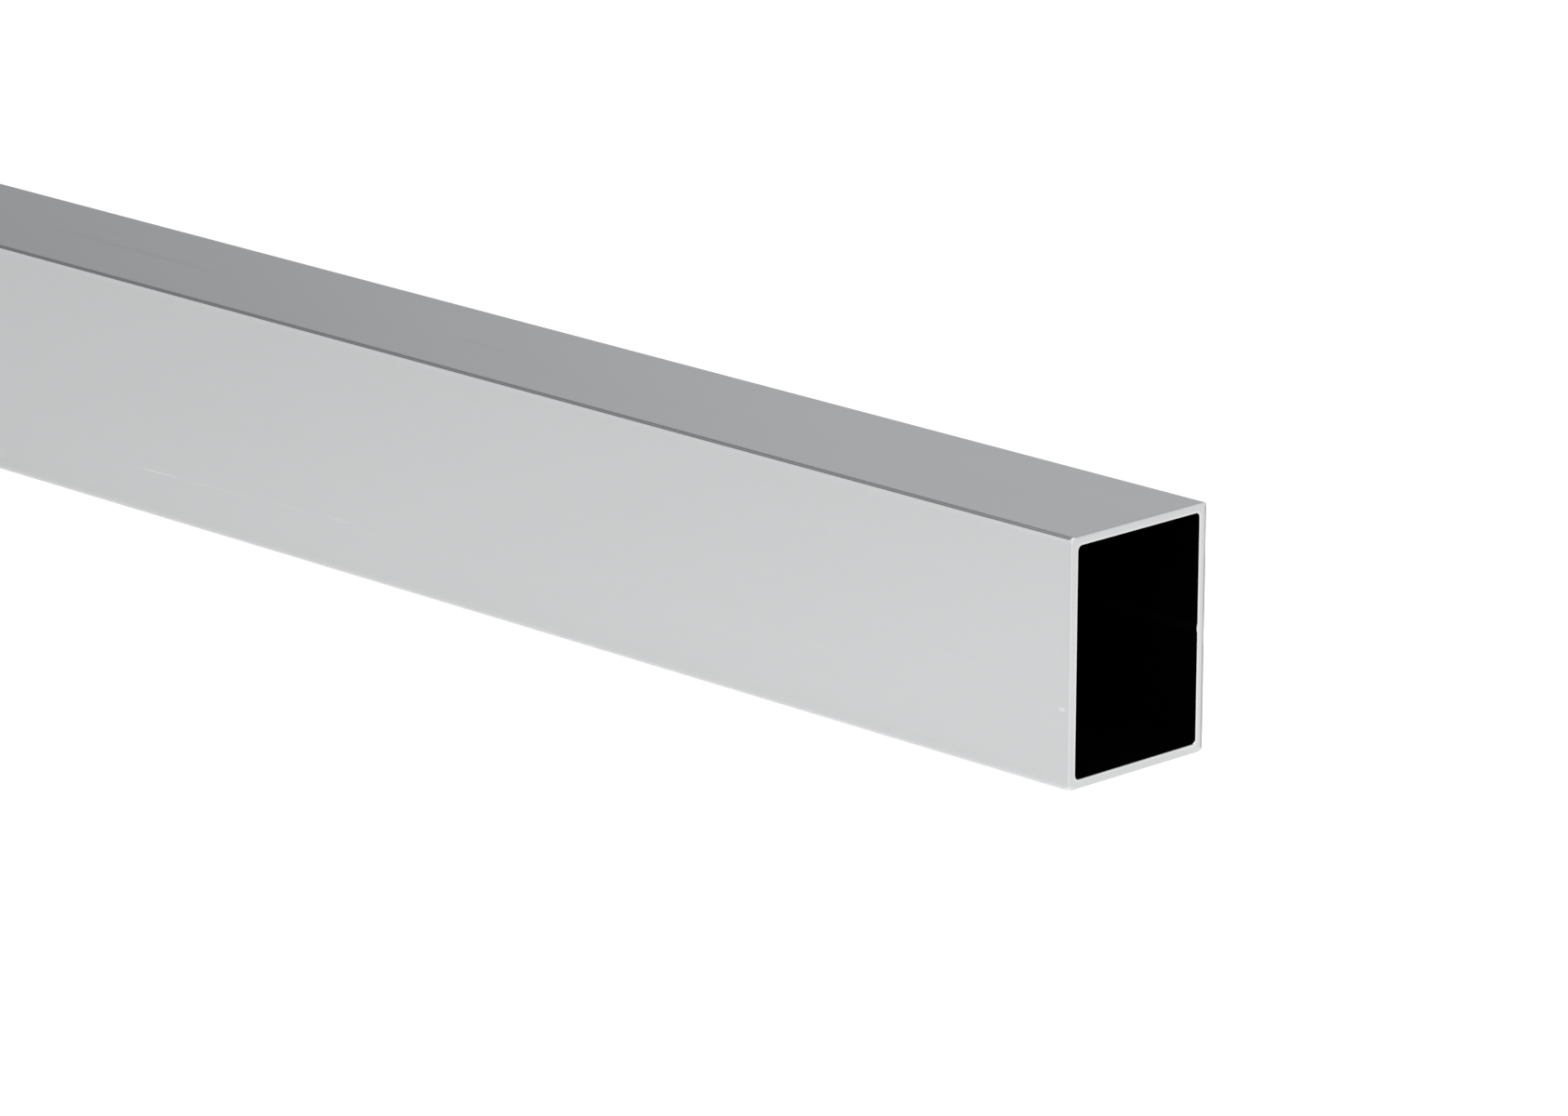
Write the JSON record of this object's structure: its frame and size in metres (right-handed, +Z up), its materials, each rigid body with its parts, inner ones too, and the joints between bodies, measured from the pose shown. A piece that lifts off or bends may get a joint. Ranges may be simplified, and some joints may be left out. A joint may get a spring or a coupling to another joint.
{
  "type": "rectangular steel tube",
  "caption": "Straight length of galvanised rectangular steel tube for frames and rails: thin wall, tight corners, open sawn ends and a weld bead inside.",
  "frame": {"origin": "middle of the underside, halfway along the tube", "axes": "+X along the tube, +Y across it towards the wall that has the weld bead inside, +Z up"},
  "size_m": [1, 0.03, 0.04],
  "materials": {
    "zinc": "satin zinc with faint lines along the tube"
  },
  "bodies": {
    "root": {"tube": "zinc"}
  },
  "joints": []
}
